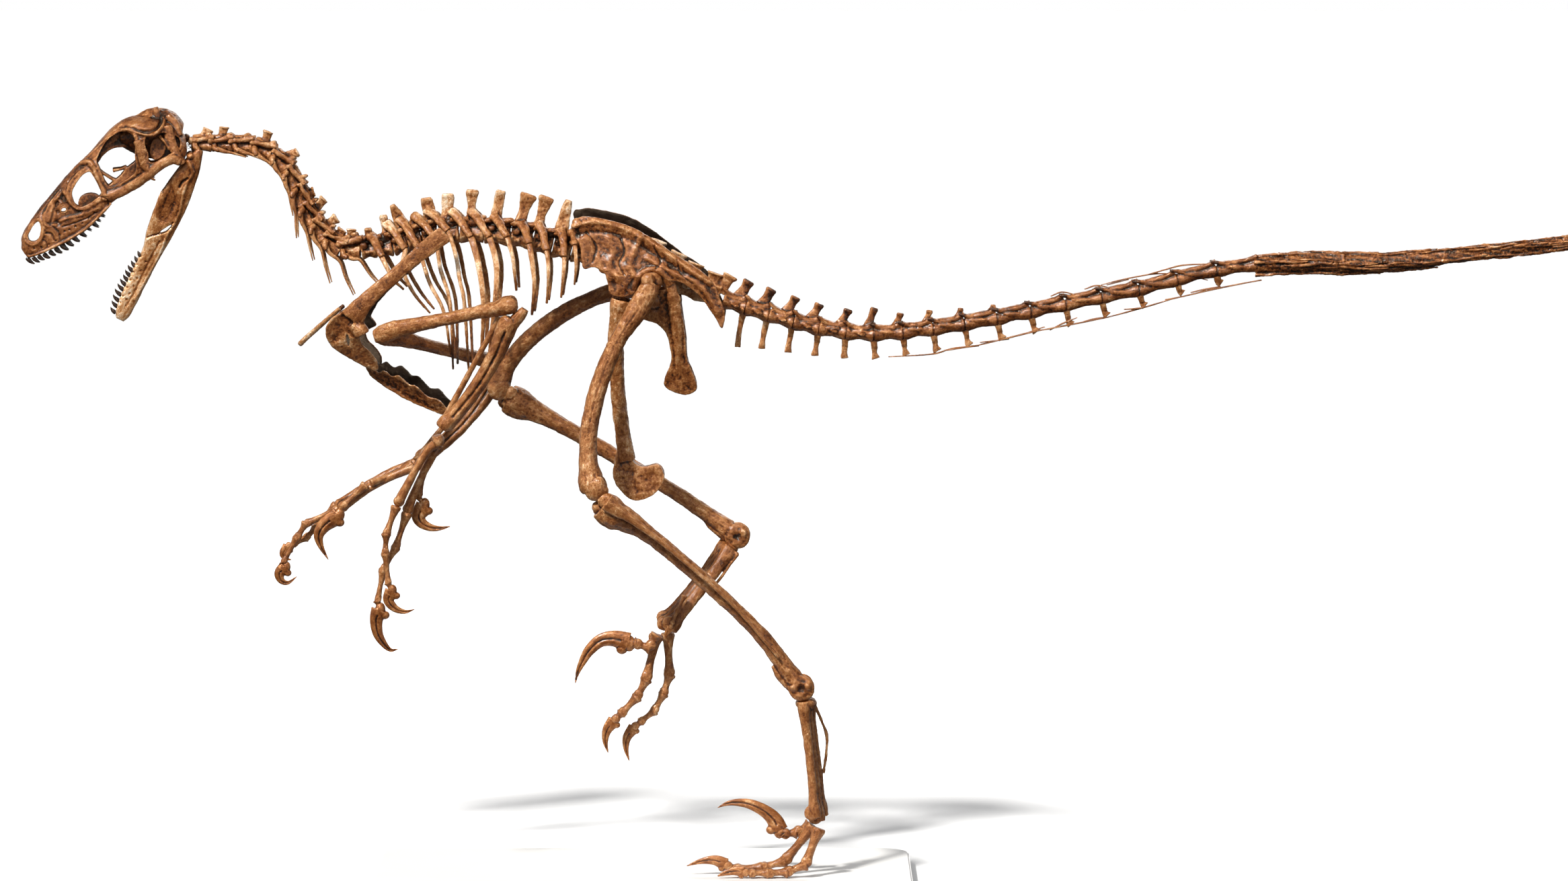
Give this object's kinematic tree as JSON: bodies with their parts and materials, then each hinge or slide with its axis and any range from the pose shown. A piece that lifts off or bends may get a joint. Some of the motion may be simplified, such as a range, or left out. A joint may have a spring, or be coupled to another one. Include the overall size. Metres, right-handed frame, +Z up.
{
  "type": "mounted dinosaur skeleton",
  "caption": "Life-size cast skeleton of a small sickle-clawed dromaeosaur dinosaur, mounted in mid stride on one foot on a flat base plate.",
  "frame": {"origin": "centre of the base plate's underside", "axes": "+Z up, -X the way the animal faces, -Y its left side"},
  "size_m": [1.0466, 0.1698, 0.4775],
  "materials": {
    "bone": "cast resin stained brown, semi-gloss, with darker recesses and tan high spots",
    "restored_bone": "pale tan restored bone, semi-gloss",
    "tooth": "glossy near-black enamel",
    "claw": "dark brown, polished",
    "stand": "pale satin paint"
  },
  "bodies": {
    "root": {"skull": "bone", "lower_jaw_left": "bone", "lower_jaw_right": "bone", "neck_front": "bone", "neck_middle": "bone", "neck_rear": "bone", "rib_cage_left": "bone", "rib_cage_right": "bone", "shoulder_blade_left": "bone", "shoulder_blade_right": "bone", "wishbone": "bone", "breast_plate_left": "bone", "breast_plate_right": "bone", "humerus_left": "bone", "ulna_left": "bone", "radius_left": "bone", "palm_left": "bone", "thumb_left": "bone", "second_finger_left": "bone", "third_finger_left": "bone", "humerus_right": "bone", "ulna_right": "bone", "radius_right": "bone", "palm_right": "bone", "thumb_right": "bone", "second_finger_right": "bone", "third_finger_right": "bone", "sacrum": "bone", "ilium_left": "bone", "pubis_left": "bone", "ischium_left": "bone", "femur_left": "bone", "tibia_left": "bone", "fibula_left": "bone", "metatarsus_left": "bone", "first_toe_left": "bone", "second_toe_left": "bone", "third_toe_left": "bone", "fourth_toe_left": "bone", "ilium_right": "bone", "pubis_right": "bone", "ischium_right": "bone", "femur_right": "bone", "tibia_right": "bone", "fibula_right": "bone", "metatarsus_right": "bone", "first_toe_right": "bone", "second_toe_right": "bone", "third_toe_right": "bone", "fourth_toe_right": "bone", "tail_root": "bone", "tail_front": "bone", "tail_rear": "bone", "tail_tip": "bone", "stand_base": "stand"}
  },
  "joints": []
}
